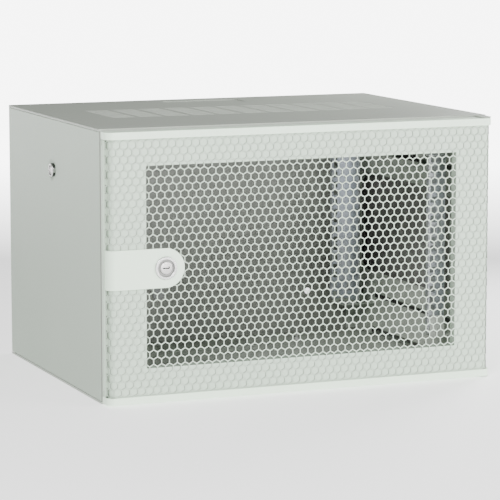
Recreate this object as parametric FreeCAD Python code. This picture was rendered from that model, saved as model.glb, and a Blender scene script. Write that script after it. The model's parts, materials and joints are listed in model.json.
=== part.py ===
import FreeCAD, Part
import math
import os
from FreeCAD import Vector

# Wall mount network cabinet, 6 rack units high, with a perforated front door on the right-hand
# hinges, removable side panels and depth-adjustable 19-inch rails.
# Millimetres. X runs to the right, Y to the back (the wall), Z up. The origin is under the middle
# of the cabinet, on the surface it stands on.

# Body
body_width = 600.0
body_height = 387.0
body_depth = 424.0
panel_t = 1.2
fold_depth = 21.0
rim_height = 3.4
edge_chamfer = 0.8
fit_gap = 0.3

# Door
door_gap = 3.0
door_depth = 24.0
door_clear_top = 3.0
door_clear_bottom = 1.8
door_side_clear = 1.25
trim_height = 10.5
trim_proud = 1.5
trim_t = 1.5
trim_radius = 11.0
sheet_t = 1.0
sheet_inset = 2.75
sheet_radius = 9.6
sheet_tuck = 5.0
pan_t = 1.5
pan_step = 13.0
pan_bend = 7.0
pan_return = 11.0
pan_notch = 8.0
window_inset_x = 60.0
window_inset_z = 51.0
window_return = 13.5

# Grille of the door: the real pitch is hex_pitch. Here the pattern is enlarged by hex_coarse,
# pitch and web alike, so the share of open area is the real one.
hex_pitch = 11.77
hex_web = 1.7
hex_coarse = 2.9
hex_margin = 3.0

# Door hinge
hinge_inset = 8.0
hinge_back = 12.0
pin_radius = 2.5
pin_play = 0.05
bush_width = 7.2
bush_length = 10.0
pin_length = 8.0
tongue_t = 1.5
tongue_width = 16.0
tongue_leg = 32.0
tongue_notch = 14.0

# Door lock
tab_height = 56.0
tab_length = 112.0
tab_t = 1.5
lock_drop = 1.7
lock_proud = 2.0
bezel_radius = 16.3
bezel_chamfer = 1.2
barrel_width = 20.0
plug_radius = 9.0
plug_sink = 0.6
lock_play = 0.05
keyway_length = 9.0
keyway_width = 1.6
keyway_depth = 3.0
cam_play = 0.8
spindle_width = 7.0
cam_length = 50.0
cam_width = 16.0
cam_t = 2.5
clip_border = 5.0
clip_t = 1.5
cam_screw_flats = 12.0
cam_screw_t = 4.0

# Top vents, one row of slotted patches
vent_columns = 11
vent_pitch = 41.5
vent_length = 36.0
vent_rows = 5
vent_row_pitch = 27.0
vent_slot = 13.0
vent_back = 206.5

# Cable entries at the back of the top and the bottom
entry_width = 126.0
entry_depth = 44.0
entry_back = 55.0
cover_lap = 12.0
cover_screw_inset = 5.5

# Side frames
frame_t = 1.5
frame_flange_inset = 53.0
frame_post_inset = 9.0
frame_post_depth = 14.0
frame_wall_inset = 12.75
frame_back_flange = 18.0
bay_front = 85.5
bay_back = 22.5
bay_sill = 105.0
bay_drop = 124.0
bay_radius = 28.0
slot_low_z = 67.5
slot_drop = 86.5
slot_front = 50.0
slot_back = 12.0
slot_width = 6.6
foot_length = 62.0
foot_gap = 12.0

# Removable side panels and their locks
side_return = 8.7
side_panel_clear = 0.5
dimple_radius = 17.0
dimple_floor_radius = 14.0
dimple_depth = 2.0
side_lock_back = 213.5
side_lock_drop = 78.2
side_lock_proud = 3.0
side_barrel_radius = 10.0
side_stem = 15.0
side_plug_radius = 6.5
side_cam_length = 24.0
side_cam_width = 14.0
side_spindle = 6.0
side_stand = 1.0
keyhole_room = 2.0
tab_count = 2
hook_length = 40.0
hook_t = 1.2

# 19-inch rails: in a body 600 wide the room beside them sets the hole columns 465 apart
rack_units = 6
rack_unit = 44.45
rail_room = 48.0
rail_hole = 9.5
rail_hole_inset = 7.5
rail_width = 27.0
rail_t = 2.0
rail_lip = 9.0
rail_web = 55.0
rail_setback = 34.0
rail_hole_steps = (6.35, 22.225, 38.1)
bracket_t = 1.5
bracket_depth = 40.0
bracket_inset_z = 54.0
bracket_low_rise = 32.0
bracket_high_drop = 45.0
web_bolt_rise = 12.5
lug_width = 23.0
m6_radius = 3.0
m6_flats = 10.0
m6_head = 4.0

# Small hardware
screw_flats = 7.0
screw_head = 2.5
frame_screw_inset = 10.0
earth_x = 157.0
earth_back = 58.5
earth_height = 15.0
wall_hole_radius = 5.0
wall_hole_dx = 400.0
wall_hole_dz = 250.0

# Planes and centres worked out from the sizes above
overall_depth = body_depth + door_gap + door_depth + lock_proud
half_width = body_width / 2
y_rear = overall_depth / 2
y_body = y_rear - body_depth
y_door_back = y_body - door_gap
y_door_front = y_door_back - door_depth
y_sheet = y_door_front + trim_proud
door_half = half_width - door_side_clear
door_low = door_clear_bottom
door_high = body_height - door_clear_top
field_low = door_low + trim_height
field_high = door_high - trim_height
middle_z = body_height / 2
lock_z = middle_z - lock_drop
hinge_x = door_half - hinge_inset
hinge_y = y_door_back - hinge_back
sheet_half = door_half - sheet_inset
flat_half = sheet_half - sheet_radius
window_half_x = half_width - window_inset_x
window_half_z = body_height / 2 - window_inset_z
tab_end_x = tab_length - sheet_half
lock_x = tab_end_x - tab_height / 2
y_frame = y_body + panel_t
y_back_panel = y_rear - panel_t
frame_low = panel_t + tongue_t + fit_gap
frame_high = body_height - frame_low
frame_flange_x = half_width - frame_flange_inset
frame_post_x = half_width - frame_post_inset
frame_wall_x = half_width - frame_wall_inset
wall_inner_x = frame_wall_x - frame_t
slot_high_z = body_height - slot_drop
rail_height = rack_units * rack_unit
rail_low = middle_z - rail_height / 2
rail_outer_x = half_width - rail_room
rail_inner_x = rail_outer_x - rail_width
rail_hole_x = rail_inner_x + rail_hole_inset
bracket_low_z = bracket_inset_z
bracket_high_z = body_height - bracket_inset_z
cover_half = entry_width / 2 + cover_lap
entry_y = y_rear - entry_back
side_lock_y = y_rear - side_lock_back
side_lock_z = body_height - side_lock_drop
side_low = rim_height + side_panel_clear
side_high = body_height - rim_height - fit_gap
y_cam = y_frame + frame_t + cam_play


def box(x0, x1, y0, y1, z0, z1):
    """Block between two corners."""
    return Part.makeBox(x1 - x0, y1 - y0, z1 - z0, Vector(x0, y0, z0))


def rod(radius, start, end):
    """Round bar from one point to another."""
    axis = end - start
    return Part.makeCylinder(radius, axis.Length, start, axis)


def mirror_x(shape):
    """Copy of a shape mirrored from right to left."""
    return shape.mirror(Vector(0, 0, 0), Vector(1, 0, 0))


def chain(points, radii):
    """Edges along a run of points, with a tangent arc of its own radius at each inner corner."""
    edges = []
    start = points[0]
    for index in range(1, len(points) - 1):
        corner = points[index]
        if radii[index - 1] == 0:
            edges.append(Part.makeLine(start, corner))
            start = corner
            continue
        back = (points[index - 1] - corner).normalize()
        ahead = (points[index + 1] - corner).normalize()
        half_angle = back.getAngle(ahead) / 2
        reach = radii[index - 1] / math.tan(half_angle)
        first = corner + back * reach
        last = corner + ahead * reach
        bisector = (back + ahead).normalize()
        centre = corner + bisector * (radii[index - 1] / math.sin(half_angle))
        middle = centre - bisector * radii[index - 1]
        if start.distanceToPoint(first) > 1e-6:
            edges.append(Part.makeLine(start, first))
        edges.append(Part.Arc(first, middle, last).toShape())
        start = last
    edges.append(Part.makeLine(start, points[-1]))
    return edges


def shifted_line(points, distance, normal):
    """Run of points moved sideways by a distance, to the left when it is positive."""
    sides = []
    for index in range(len(points) - 1):
        along = (points[index + 1] - points[index]).normalize()
        sides.append(normal.cross(along))
    moved = [points[0] + sides[0] * distance]
    for index in range(1, len(points) - 1):
        before = sides[index - 1]
        after = sides[index]
        share = distance / (1 + before.dot(after))
        moved.append(points[index] + (before + after) * share)
    moved.append(points[-1] + sides[-1] * distance)
    return moved


def folded_sheet(points, thickness, normal, length, bends=None):
    """Folded sheet: the middle line of its section, swept along the normal by a length.

    Tight folds are drawn sharp; a fold that shows its curve is given its inner radius, by the
    number of its corner along the line.
    """
    left = shifted_line(points, thickness / 2, normal)
    right = shifted_line(points, -thickness / 2, normal)
    left_radii = []
    right_radii = []
    for index in range(1, len(points) - 1):
        before = points[index] - points[index - 1]
        after = points[index + 1] - points[index]
        turns_left = before.cross(after).dot(normal) > 0
        inner_radius = 0
        outer_radius = 0
        if bends and index in bends:
            inner_radius = bends[index]
            outer_radius = inner_radius + thickness
        left_radii.append(inner_radius if turns_left else outer_radius)
        right_radii.append(outer_radius if turns_left else inner_radius)
    edges = chain(left, left_radii)
    edges.append(Part.makeLine(left[-1], right[-1]))
    edges.extend(reversed(chain(right, right_radii)))
    edges.append(Part.makeLine(right[0], left[0]))
    wire = Part.Wire(Part.__sortEdges__(edges))
    return Part.Face(wire).extrude(normal * length)


def plate_with_holes(outer, holes, direction):
    """Flat sheet from an outline and the outlines of its holes, given its thickness vector."""
    face = Part.makeFace([outer] + holes, "Part::FaceMakerBullseye")
    return face.extrude(direction)


def rectangle_xz(x0, x1, z0, z1, y):
    """Rectangular outline in an upright plane that faces the front."""
    corners = [Vector(x0, y, z0), Vector(x1, y, z0), Vector(x1, y, z1), Vector(x0, y, z1)]
    return Part.makePolygon(corners + corners[:1])


def rounded_block(x0, x1, y0, y1, z0, z1, radius):
    """Block with its four edges along X rounded."""
    block = box(x0, x1, y0, y1, z0, z1)
    along_x = [edge for edge in block.Edges if abs(edge.tangentAt(0).x) > 0.9]
    return block.makeFillet(radius, along_x)


def hexagon(centre, across_flats, axis_u, axis_v):
    """Hexagonal outline with a corner along the second axis."""
    corner_radius = across_flats / math.sqrt(3)
    corners = []
    for step in range(6):
        angle = math.radians(30 + 60 * step)
        corners.append(centre + axis_u * corner_radius * math.cos(angle)
                       + axis_v * corner_radius * math.sin(angle))
    return Part.makePolygon(corners + corners[:1])


def hex_head(centre, direction, across_flats, height):
    """Hexagonal head or nut that stands on a point and rises along a direction."""
    if abs(direction.x) > 0.5:
        axis_u = Vector(0, 1, 0)
        axis_v = Vector(0, 0, 1)
    elif abs(direction.y) > 0.5:
        axis_u = Vector(1, 0, 0)
        axis_v = Vector(0, 0, 1)
    else:
        axis_u = Vector(1, 0, 0)
        axis_v = Vector(0, 1, 0)
    outline = hexagon(centre, across_flats, axis_u, axis_v)
    return Part.Face(outline).extrude(direction * height)


def outer_edges(shape, z):
    """Edges of a lid's outline that lie on its closed outer face."""
    found = []
    for edge in shape.Edges:
        bounds = edge.BoundBox
        if abs(bounds.ZMin - z) < 1e-6 and abs(bounds.ZMax - z) < 1e-6:
            found.append(edge)
    return found


def lid(z_outer, inward):
    """Top or bottom tray: plate, shallow rims at the front and sides, and a deeper front fold."""
    z_rim = z_outer + inward * rim_height
    z_plate = z_outer + inward * panel_t
    z_fold = z_outer + inward * fold_depth
    blank = box(-half_width, half_width, y_body, y_rear, min(z_outer, z_rim), max(z_outer, z_rim))
    blank = blank.makeChamfer(edge_chamfer, outer_edges(blank, z_outer))
    inside = box(-half_width + panel_t, half_width - panel_t, y_frame, y_rear,
                 min(z_plate, z_rim), max(z_plate, z_rim))
    fold = box(-frame_post_x, frame_post_x, y_body, y_frame,
               min(z_plate, z_fold), max(z_plate, z_fold))
    return blank.cut(inside).fuse(fold).removeSplitter()


def entry_hole(z0, z1):
    """Cutter for the cable entry at the back of the top or the bottom."""
    return box(-entry_width / 2, entry_width / 2, entry_y - entry_depth / 2,
               entry_y + entry_depth / 2, z0, z1)


def tongue_slot(z0, z1, reach):
    """Cutter that lets a hinge tongue out of the body's front edge."""
    x_middle = hinge_x
    half = tongue_width / 2 + fit_gap
    return box(x_middle - half, x_middle + half, y_body - 1, y_body + reach, z0, z1)


def top_panel():
    """Top with its row of vent patches, the cable entry and the slot for the upper hinge."""
    tray = lid(body_height, -1)
    slots = []
    first_x = -(vent_columns - 1) / 2 * vent_pitch
    first_y = y_rear - vent_back - (vent_rows - 1) / 2 * vent_row_pitch
    for column in range(vent_columns):
        x = first_x + column * vent_pitch
        for row in range(vent_rows):
            y = first_y + row * vent_row_pitch
            slots.append(box(x - vent_length / 2, x + vent_length / 2, y - vent_slot / 2,
                             y + vent_slot / 2, body_height - 2 * panel_t, body_height + 1))
    tray = tray.cut(Part.makeCompound(slots))
    tray = tray.cut(entry_hole(body_height - 2 * panel_t, body_height + 1))
    z_under = body_height - panel_t
    return tray.cut(tongue_slot(z_under - tongue_t - fit_gap, z_under, panel_t + 0.5))


def bottom_panel():
    """Bottom with its cable entry and the notch for the lower hinge."""
    tray = lid(0, 1)
    tray = tray.cut(entry_hole(-1, 2 * panel_t))
    return tray.cut(tongue_slot(-1, tongue_t + fit_gap, tongue_notch))


def rear_panel():
    """Back sheet between top and bottom, folded forward at both, with four wall-fixing holes."""
    z_low = panel_t
    z_high = body_height - panel_t
    middle_x = frame_post_x - fit_gap
    y_middle = y_rear - panel_t / 2
    y_fold = y_rear - fold_depth
    section = [Vector(-middle_x, y_fold, z_low + panel_t / 2),
               Vector(-middle_x, y_middle, z_low + panel_t / 2),
               Vector(-middle_x, y_middle, z_high - panel_t / 2),
               Vector(-middle_x, y_fold, z_high - panel_t / 2)]
    sheet = folded_sheet(section, panel_t, Vector(1, 0, 0), 2 * middle_x)
    for x in (-wall_hole_dx / 2, wall_hole_dx / 2):
        for z in (middle_z - wall_hole_dz / 2, middle_z + wall_hole_dz / 2):
            hole = rod(wall_hole_radius, Vector(x, y_rear - 2 * panel_t, z), Vector(x, y_rear + 1, z))
            sheet = sheet.cut(hole)
    return sheet


def rail_slot(x0, x1, z_middle):
    """Cutter for the long slot that the rail brackets slide along."""
    half = slot_width / 2
    return box(x0, x1, y_body + slot_front, y_rear - slot_back, z_middle - half, z_middle + half)


def side_frame():
    """Right side frame: front post, wall with its large opening and rail slots, rear flange."""
    half = frame_t / 2
    y_front = y_frame + half
    section = [Vector(frame_flange_x, y_front, frame_low),
               Vector(frame_post_x - half, y_front, frame_low),
               Vector(frame_post_x - half, y_body + frame_post_depth, frame_low),
               Vector(frame_wall_x - half, y_body + frame_post_depth, frame_low),
               Vector(frame_wall_x - half, y_back_panel - half, frame_low),
               Vector(frame_wall_x - frame_back_flange, y_back_panel - half, frame_low)]
    shell = folded_sheet(section, frame_t, Vector(0, 0, 1), frame_high - frame_low)
    x0 = wall_inner_x - 1
    x1 = frame_wall_x + 1
    opening = rounded_block(x0, x1, y_body + bay_front, y_rear - bay_back, bay_sill,
                            body_height - bay_drop, bay_radius)
    low_slot = rail_slot(x0, x1, slot_low_z)
    high_slot = rail_slot(x0, x1, slot_high_z)
    lock_room = side_stem / 2 + keyhole_room
    keyhole = box(x0, x1, side_lock_y - lock_room, side_lock_y + side_cam_length + lock_room,
                  side_lock_z - lock_room, side_lock_z + lock_room)
    arch = box(x0, x1, y_body + foot_length, y_rear - foot_length, frame_low - 1, frame_low + foot_gap)
    shell = shell.cut(Part.makeCompound([opening, low_slot, arch]))
    return shell.cut(high_slot.fuse(keyhole))


def side_panel():
    """Right side panel: sheet with returned edges, two hooks below and a dimple for its lock."""
    x_in = half_width - panel_t
    blank = box(half_width - side_return, half_width, y_body, y_rear, side_low, side_high)
    long_edges = [edge for edge in blank.Edges
                  if edge.BoundBox.XMin > half_width - 1e-6]
    blank = blank.makeChamfer(edge_chamfer, long_edges)
    hollow = box(half_width - side_return - 1, x_in, y_body + panel_t, y_rear - panel_t,
                 side_low + panel_t, side_high - panel_t)
    panel = blank.cut(hollow)
    hook_x = x_in - fit_gap - hook_t
    spacing = body_depth / (tab_count + 1)
    for index in range(tab_count):
        y = y_body + (index + 1) * spacing
        panel = panel.fuse(box(hook_x, hook_x + hook_t, y - hook_length / 2, y + hook_length / 2,
                               panel_t + fit_gap, side_low + panel_t / 2))
    centre = Vector(0, side_lock_y, side_lock_z)
    x_floor = half_width - dimple_depth
    dish = [Vector(x_floor - panel_t, 0, 0), Vector(x_floor, 0, 0),
            Vector(x_floor, 0, dimple_floor_radius), Vector(half_width, 0, dimple_radius),
            Vector(x_in, 0, dimple_radius + panel_t),
            Vector(x_floor - panel_t, 0, dimple_floor_radius + panel_t / 2)]
    dish = [point + centre for point in dish]
    dimple = Part.Face(Part.makePolygon(dish + dish[:1])).revolve(centre, Vector(1, 0, 0), 360)
    room = Part.makeCone(dimple_floor_radius, dimple_radius, dimple_depth,
                         Vector(x_floor, side_lock_y, side_lock_z), Vector(1, 0, 0))
    half = side_stem / 2
    hole = box(x_floor - 2 * panel_t, half_width, side_lock_y - half, side_lock_y + half,
               side_lock_z - half, side_lock_z + half)
    return panel.fuse(dimple).cut(room).cut(hole)


def side_lock_housing():
    """Chrome lock body of the right side panel: round head, square stem, bore for the plug."""
    x_floor = half_width - dimple_depth
    x_face = half_width + side_lock_proud
    centre = Vector(x_floor, side_lock_y, side_lock_z)
    head = rod(side_barrel_radius, centre, Vector(x_face, side_lock_y, side_lock_z))
    half = side_stem / 2
    stem = box(wall_inner_x + side_stand, x_floor, side_lock_y - half, side_lock_y + half,
               side_lock_z - half, side_lock_z + half)
    bore = rod(side_plug_radius + lock_play, Vector(wall_inner_x, side_lock_y, side_lock_z),
               Vector(x_face + 1, side_lock_y, side_lock_z))
    return head.fuse(stem).cut(bore)


def side_lock_clip():
    """Spring clip that holds the lock from inside the right side panel, pushed on from below."""
    x_seat = half_width - dimple_depth - panel_t
    half = side_stem / 2
    outer = half + clip_border
    plate = box(x_seat - clip_t, x_seat, side_lock_y - outer, side_lock_y + outer,
                side_lock_z - outer, side_lock_z + outer)
    return plate.cut(box(x_seat - 2 * clip_t, x_seat + 1, side_lock_y - half, side_lock_y + half,
                         side_lock_z - outer - 1, side_lock_z + half))


def side_lock_plug():
    """Turning plug of the right side lock, with its key slot and the square end for the cam."""
    x_face = half_width + side_lock_proud - plug_sink
    x_shoulder = wall_inner_x
    x_end = x_shoulder - side_stand / 2 - cam_t
    plug = rod(side_plug_radius, Vector(x_shoulder, side_lock_y, side_lock_z),
               Vector(x_face, side_lock_y, side_lock_z))
    half = side_spindle / 2
    spindle = box(x_end, x_shoulder, side_lock_y - half, side_lock_y + half,
                  side_lock_z - half, side_lock_z + half)
    keyway = box(x_face - keyway_depth, x_face + 1, side_lock_y - keyway_width / 2,
                 side_lock_y + keyway_width / 2, side_lock_z - keyway_length / 2,
                 side_lock_z + keyway_length / 2)
    return plug.fuse(spindle).cut(keyway)


def side_lock_cam():
    """Tongue on the end of the right side lock, pointing back while the lock is open."""
    x_back = wall_inner_x - side_stand / 2
    half = side_cam_width / 2
    blade = box(x_back - cam_t, x_back, side_lock_y - half, side_lock_y + side_cam_length,
                side_lock_z - half, side_lock_z + half)
    corners = [edge for edge in blade.Edges if edge.BoundBox.XLength > cam_t / 2]
    blade = blade.makeChamfer(half / 2, corners)
    hole = side_spindle / 2
    return blade.cut(box(x_back - 2 * cam_t, x_back + 1, side_lock_y - hole, side_lock_y + hole,
                         side_lock_z - hole, side_lock_z + hole))


def entry_cover(z_seat, inward):
    """Blanking plate that closes a cable entry from the inside."""
    z_far = z_seat + inward * panel_t
    return box(-cover_half, cover_half, entry_y - entry_depth / 2 - cover_lap,
               entry_y + entry_depth / 2 + cover_lap, min(z_seat, z_far), max(z_seat, z_far))


def entry_cover_screws(z_seat, inward):
    """Four screws of a blanking plate, heads inside."""
    heads = []
    dx = cover_half - cover_screw_inset
    dy = entry_depth / 2 + cover_lap - cover_screw_inset
    for x in (-dx, dx):
        for y in (entry_y - dy, entry_y + dy):
            heads.append(hex_head(Vector(x, y, z_seat), Vector(0, 0, inward), screw_flats, screw_head))
    return Part.makeCompound(heads)


def cap_outline(inset, z):
    """Plan of a door trim rail, drawn in by an inset, with round front corners."""
    x = door_half - inset
    y0 = y_door_front + inset
    y1 = y_door_back - inset
    front = trim_radius - inset
    points = [Vector(0, y1, z), Vector(-x, y1, z), Vector(-x, y0, z), Vector(x, y0, z),
              Vector(x, y1, z), Vector(0, y1, z)]
    edges = chain(points, [0, front, front, 0])
    return Part.Face(Part.Wire(edges))


def door_cap(z_outer, inward):
    """Trim rail that closes the door's upper or lower end, hollow towards the door."""
    shell = cap_outline(0, z_outer).extrude(Vector(0, 0, inward * trim_height))
    z_plate = z_outer + inward * trim_t
    hollow = cap_outline(trim_t, z_plate).extrude(Vector(0, 0, inward * trim_height))
    return shell.cut(hollow).cut(bush_block(z_outer - inward, z_plate + inward))


def bush_block(z0, z1):
    """Square block about the hinge axis, between two heights."""
    half = bush_width / 2
    return box(hinge_x - half, hinge_x + half, hinge_y - half, hinge_y + half, min(z0, z1), max(z0, z1))


def hinge_bush(z_outer, inward):
    """Square bush that carries the hinge pin in a door trim rail."""
    far = z_outer + inward * bush_length
    bore = rod(pin_radius + pin_play, Vector(hinge_x, hinge_y, z_outer - inward),
               Vector(hinge_x, hinge_y, far + inward))
    return bush_block(z_outer, far).cut(bore)


def tongue_plate(y_start, z0):
    """Flat hinge tongue with clipped corners, from just past the pin back to a plane."""
    half = tongue_width / 2
    strip = box(hinge_x - half, hinge_x + half, hinge_y - half, y_start, z0, z0 + tongue_t)
    corners = [edge for edge in strip.Edges
               if edge.BoundBox.YMax < hinge_y and edge.BoundBox.ZLength > tongue_t / 2]
    return strip.makeChamfer(half / 2, corners)


def hinge_bracket_top():
    """Upper hinge arm, a straight strip under the top panel."""
    return tongue_plate(y_body + tongue_leg, body_height - panel_t - tongue_t)


def hinge_bracket_bottom():
    """Lower hinge arm: a strip flush with the underside that steps up onto the bottom panel."""
    y_step = y_body + tongue_notch - 2 * tongue_t
    strip = tongue_plate(y_step, 0)
    half = tongue_width / 2
    step = [Vector(hinge_x - half, y_step - 1, tongue_t / 2),
            Vector(hinge_x - half, y_step, tongue_t / 2),
            Vector(hinge_x - half, y_step + 1.5 * tongue_t, panel_t + tongue_t / 2),
            Vector(hinge_x - half, y_body + tongue_leg, panel_t + tongue_t / 2)]
    leg = folded_sheet(step, tongue_t, Vector(1, 0, 0), tongue_width)
    return strip.fuse(leg)


def hinge_pin(z_arm, inward):
    """Hinge pin, welded to the face of its arm and reaching into the door's bush."""
    return rod(pin_radius, Vector(hinge_x, hinge_y, z_arm),
               Vector(hinge_x, hinge_y, z_arm + inward * pin_length))


def door_pan():
    """Door frame: stepped pan with the window, folded at the window, the sides and both ends."""
    half = pan_t / 2
    y_face = y_sheet + sheet_t + half
    y_step = y_sheet + pan_step + half
    y_back = y_door_back - half
    x_wall = flat_half + pan_bend - half
    x_side = door_half - half
    x_return = door_half - pan_return
    right = [Vector(x_wall, y_face, field_low), Vector(x_wall, y_step, field_low),
             Vector(x_side, y_step, field_low), Vector(x_side, y_back, field_low),
             Vector(x_return, y_back, field_low)]
    left = [Vector(-point.x, point.y, point.z) for point in reversed(right)]
    face_bends = {len(left) - 1: pan_bend - pan_t, len(left): pan_bend - pan_t}
    pan = folded_sheet(left + right, pan_t, Vector(0, 0, 1), field_high - field_low, face_bends)
    x_half = window_half_x
    z0 = middle_z - window_half_z
    z1 = middle_z + window_half_z
    y0 = y_sheet + sheet_t
    y1 = y0 + pan_t + window_return
    pan = pan.cut(box(-x_half, x_half, y0 - 1, y0 + 2 * pan_t, z0, z1))
    collar = box(-x_half - pan_t, x_half + pan_t, y0, y1, z0 - pan_t, z1 + pan_t)
    pan = pan.fuse(collar.cut(box(-x_half, x_half, y0 - 1, y1 + 1, z0, z1)))
    notch_y = y_sheet + pan_step + 2 * pan_t
    for z_end, inward in ((field_low, 1), (field_high, -1)):
        z_in = z_end - inward * (trim_height - trim_t - 2 * fit_gap)
        z_plate = z_in + inward * pan_t
        lip_x = flat_half - 2 * fit_gap
        tongue = box(-lip_x, lip_x, y0, y0 + pan_t, min(z_in, z_end), max(z_in, z_end))
        flange = box(-lip_x, lip_x, y0, y_door_back - trim_t - fit_gap,
                     min(z_in, z_plate), max(z_in, z_plate))
        pan = pan.fuse([tongue, flange])
        z_notch = z_end + inward * pan_notch
        for side in (-1, 1):
            outer = side * (door_half + 1)
            inner = side * (door_half - 2 * pan_t)
            pan = pan.cut(box(min(outer, inner), max(outer, inner), notch_y, y_door_back - 2 * pan_t,
                              min(z_end, z_notch), max(z_end, z_notch)))
    return pan.removeSplitter()


def door_mesh():
    """Flat field of the perforated sheet in front of the door frame."""
    z0 = field_low - sheet_tuck
    z1 = field_high + sheet_tuck
    pitch = hex_pitch * hex_coarse
    flats = pitch - hex_web * hex_coarse
    row_pitch = pitch * math.sqrt(3) / 2
    reach_x = window_half_x - hex_margin - flats / 2
    reach_z = window_half_z - hex_margin - flats / math.sqrt(3)
    rows = int(reach_z / row_pitch)
    columns = int(reach_x / pitch) + 1
    holes = []
    for row in range(-rows, rows + 1):
        z = middle_z + row * row_pitch
        shift = pitch / 2 if row % 2 else 0
        for column in range(-columns, columns + 1):
            x = column * pitch + shift
            behind_tab = (x - flats / 2 < tab_end_x + hex_web
                          and abs(z - lock_z) < tab_height / 2 + flats / math.sqrt(3))
            if abs(x) <= reach_x and not behind_tab:
                holes.append(hexagon(Vector(x, y_sheet, z), flats, Vector(1, 0, 0), Vector(0, 0, 1)))
    outline = rectangle_xz(-flat_half, flat_half, z0, z1, y_sheet)
    half = barrel_width / 2
    holes.append(rectangle_xz(lock_x - half, lock_x + half, lock_z - half, lock_z + half, y_sheet))
    return plate_with_holes(outline, holes, Vector(0, sheet_t, 0))


def door_edge():
    """Right-hand rounded edge of the perforated sheet, seated on the step of the door frame."""
    z0 = field_low - sheet_tuck
    half = sheet_t / 2
    section = [Vector(flat_half, y_sheet + half, z0), Vector(sheet_half - half, y_sheet + half, z0),
               Vector(sheet_half - half, y_sheet + pan_step, z0)]
    return folded_sheet(section, sheet_t, Vector(0, 0, 1), field_high - field_low + 2 * sheet_tuck,
                        {1: sheet_radius - sheet_t})


def lock_tab():
    """Smooth plate with a round end that wraps the left door edge and carries the lock."""
    half = tab_t / 2
    radius = tab_height / 2
    z0 = lock_z - radius
    section = [Vector(tab_end_x, y_sheet - half, z0), Vector(-sheet_half - half, y_sheet - half, z0),
               Vector(-sheet_half - half, y_sheet + pan_step, z0)]
    strip = folded_sheet(section, tab_t, Vector(0, 0, 1), tab_height, {1: sheet_radius})
    x_round = tab_end_x - radius
    body = box(-half_width - 1, x_round, y_sheet - 2 * tab_t, y_door_back, z0, z0 + tab_height)
    nose = rod(radius, Vector(x_round, y_sheet - 2 * tab_t, lock_z),
               Vector(x_round, y_door_back, lock_z))
    strip = strip.common(body.fuse(nose))
    return strip.cut(barrel_block(y_sheet - 2 * tab_t, y_sheet + 1))


def barrel_block(y0, y1):
    """Square block about the door lock's axis, between two depths."""
    half = barrel_width / 2
    return box(lock_x - half, lock_x + half, y0, y1, lock_z - half, lock_z + half)


def lock_housing():
    """Door lock body: round bezel on the tab and a square barrel through the door."""
    y_seat = y_sheet - tab_t
    y_face = y_door_front - lock_proud
    y_end = y_cam - fit_gap
    bezel = rod(bezel_radius, Vector(lock_x, y_seat, lock_z), Vector(lock_x, y_face, lock_z))
    rim = [edge for edge in bezel.Edges if edge.BoundBox.YMax < y_face + fit_gap]
    bezel = bezel.makeChamfer(bezel_chamfer, rim)
    bore = rod(plug_radius + lock_play, Vector(lock_x, y_face - 1, lock_z),
               Vector(lock_x, y_end + 1, lock_z))
    return bezel.fuse(barrel_block(y_seat, y_end)).cut(bore)


def lock_clip():
    """Spring clip that holds the door lock against the back of the sheet, pushed on from below."""
    y_seat = y_sheet + sheet_t
    half = barrel_width / 2
    outer = half + clip_border
    plate = box(lock_x - outer, lock_x + outer, y_seat, y_seat + clip_t, lock_z - outer,
                lock_z + outer)
    return plate.cut(box(lock_x - half, lock_x + half, y_seat - 1, y_seat + 2 * clip_t,
                         lock_z - outer - 1, lock_z + half))


def spindle_block(y0, y1):
    """Square block about the door lock's axis, sized for the cam's hole."""
    half = spindle_width / 2
    return box(lock_x - half, lock_x + half, y0, y1, lock_z - half, lock_z + half)


def lock_plug():
    """Turning plug of the door lock, with a level key slot and the square end for the cam."""
    y_face = y_door_front - lock_proud + plug_sink
    plug = rod(plug_radius, Vector(lock_x, y_face, lock_z), Vector(lock_x, y_cam, lock_z))
    keyway = box(lock_x - keyway_length / 2, lock_x + keyway_length / 2, y_face - 1,
                 y_face + keyway_depth, lock_z - keyway_width / 2, lock_z + keyway_width / 2)
    return plug.fuse(spindle_block(y_cam, y_cam + cam_t)).cut(keyway)


def lock_cam():
    """Long tongue of the door lock, hanging down while the lock is open."""
    half = cam_width / 2
    blade = box(lock_x - half, lock_x + half, y_cam, y_cam + cam_t, lock_z - cam_length,
                lock_z + half)
    corners = [edge for edge in blade.Edges if edge.BoundBox.YLength > cam_t / 2]
    blade = blade.makeChamfer(half / 2, corners)
    return blade.cut(spindle_block(y_cam - 1, y_cam + 2 * cam_t))


def lock_cam_screw():
    """Screw head that holds the cam on the spindle."""
    return hex_head(Vector(lock_x, y_cam + cam_t, lock_z), Vector(0, 1, 0), cam_screw_flats,
                    cam_screw_t)


def front_rail():
    """Right front 19-inch rail: lip, face with square holes, and a web that runs back."""
    y_front = y_body + rail_setback
    half = rail_t / 2
    section = [Vector(rail_inner_x + half, y_front + rail_lip, rail_low),
               Vector(rail_inner_x + half, y_front + half, rail_low),
               Vector(rail_outer_x - half, y_front + half, rail_low),
               Vector(rail_outer_x - half, y_front + rail_web, rail_low)]
    rail = folded_sheet(section, rail_t, Vector(0, 0, 1), rail_height)
    holes = []
    for unit in range(rack_units):
        for step in rail_hole_steps:
            z = rail_low + unit * rack_unit + step
            holes.append(box(rail_hole_x - rail_hole / 2, rail_hole_x + rail_hole / 2, y_front - 1,
                             y_front + rail_t + 0.5, z - rail_hole / 2, z + rail_hole / 2))
    return rail.cut(Part.makeCompound(holes))


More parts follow.
